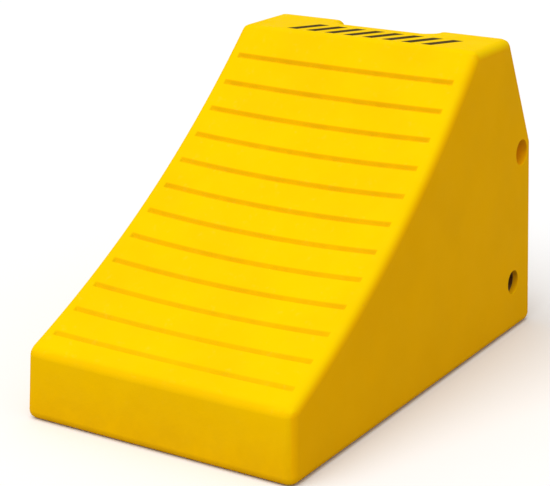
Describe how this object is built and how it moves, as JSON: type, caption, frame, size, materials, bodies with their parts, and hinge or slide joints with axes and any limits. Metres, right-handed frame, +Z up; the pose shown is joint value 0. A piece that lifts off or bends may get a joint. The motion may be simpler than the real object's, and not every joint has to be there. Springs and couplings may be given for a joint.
{
  "type": "wheel chock",
  "caption": "Large moulded wedge chock with a hollow, grooved tyre face, a recessed carrying bar in its heel and a lined cross bore for a tether rope.",
  "frame": {"origin": "under the middle of the base, on the surface that the chock stands on", "axes": "+Z up, -Y towards the tyre (the low front lip), +Y towards the heel, X across the width"},
  "size_m": [0.2914, 0.4986, 0.3155],
  "materials": {
    "body_urethane": "satin, bright safety yellow",
    "plug_urethane": "satin, deeper yellow",
    "galvanised_steel": "dull galvanised",
    "grip_rubber": "matt black, ringed"
  },
  "bodies": {
    "root": {"chock_body": "body_urethane", "handle_bar": "galvanised_steel", "handle_grip": "grip_rubber", "left_bar_plug": "plug_urethane", "right_bar_plug": "plug_urethane", "tether_tube": "galvanised_steel"}
  },
  "joints": []
}
